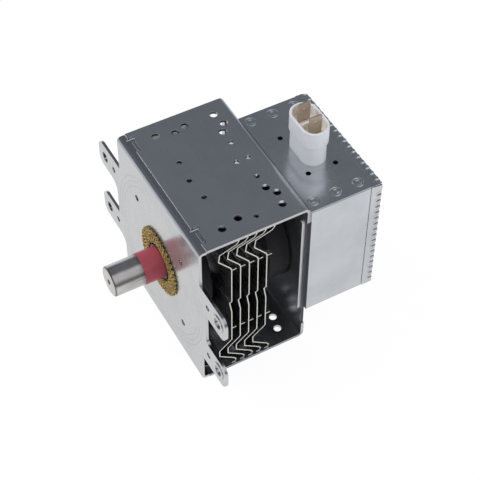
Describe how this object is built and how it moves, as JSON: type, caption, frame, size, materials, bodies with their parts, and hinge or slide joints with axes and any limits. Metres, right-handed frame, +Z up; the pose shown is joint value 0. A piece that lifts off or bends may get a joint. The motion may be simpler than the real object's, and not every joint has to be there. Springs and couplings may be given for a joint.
{
  "type": "magnetron",
  "caption": "Oven magnetron: steel yoke around ring magnets and folded cooling fins, capped antenna with woven gasket, crimped filter box with a blade connector.",
  "frame": {"origin": "where the antenna axis meets the outer face of the mounting plate, at the middle of the four fixing holes", "axes": "+Z up through the connector, -Y along the antenna, +X to one of the two open sides of the yoke"},
  "size_m": [0.1272, 0.1184, 0.1157],
  "materials": {
    "yoke_steel": "galvanised, semi-gloss",
    "plate_steel": "galvanised, semi-gloss",
    "ferrite": "dull",
    "fin_aluminium": "satin",
    "copper": "satin",
    "pole_iron": "satin",
    "seal_steel": "satin",
    "pink_ceramic": "matte glaze",
    "white_ceramic": "matte",
    "cap_steel": "polished",
    "gasket_brass": "woven wire",
    "cathode_metal": "satin",
    "white_plastic": "satin",
    "case_plastic": "matte",
    "tab_metal": "tinned, satin"
  },
  "bodies": {
    "root": {"yoke_frame": "yoke_steel", "filter_box": "yoke_steel", "filter_box_lid": "yoke_steel", "capacitor_base_plate": "yoke_steel", "mounting_plate": "plate_steel", "front_magnet": "ferrite", "rear_magnet": "ferrite", "choke_core_1": "ferrite", "choke_core_2": "ferrite", "cooling_fin_1": "fin_aluminium", "cooling_fin_2": "fin_aluminium", "cooling_fin_3": "fin_aluminium", "cooling_fin_4": "fin_aluminium", "cooling_fin_5": "fin_aluminium", "anode_block": "copper", "strap_small_front": "copper", "strap_large_front": "copper", "strap_small_rear": "copper", "strap_large_rear": "copper", "exhaust_tube": "copper", "antenna_feeder": "copper", "choke_coil_1": "copper", "choke_coil_2": "copper", "choke_lead_upper_1": "copper", "choke_lead_upper_2": "copper", "choke_lead_lower_1": "copper", "choke_lead_lower_2": "copper", "pole_piece_front": "pole_iron", "pole_piece_rear": "pole_iron", "antenna_side_seal": "seal_steel", "filter_side_seal": "seal_steel", "antenna_ceramic": "pink_ceramic", "stem_ceramic": "white_ceramic", "capacitor_ceramic": "white_ceramic", "antenna_cap": "cap_steel", "rf_gasket": "gasket_brass", "filament": "cathode_metal", "end_hat_front": "cathode_metal", "end_hat_rear": "cathode_metal", "center_lead": "cathode_metal", "side_lead": "cathode_metal", "stem_pin_upper": "cathode_metal", "stem_pin_lower": "cathode_metal", "connector_housing": "white_plastic", "capacitor_case": "case_plastic", "terminal_tab_left": "tab_metal", "terminal_tab_right": "tab_metal"}
  },
  "joints": []
}
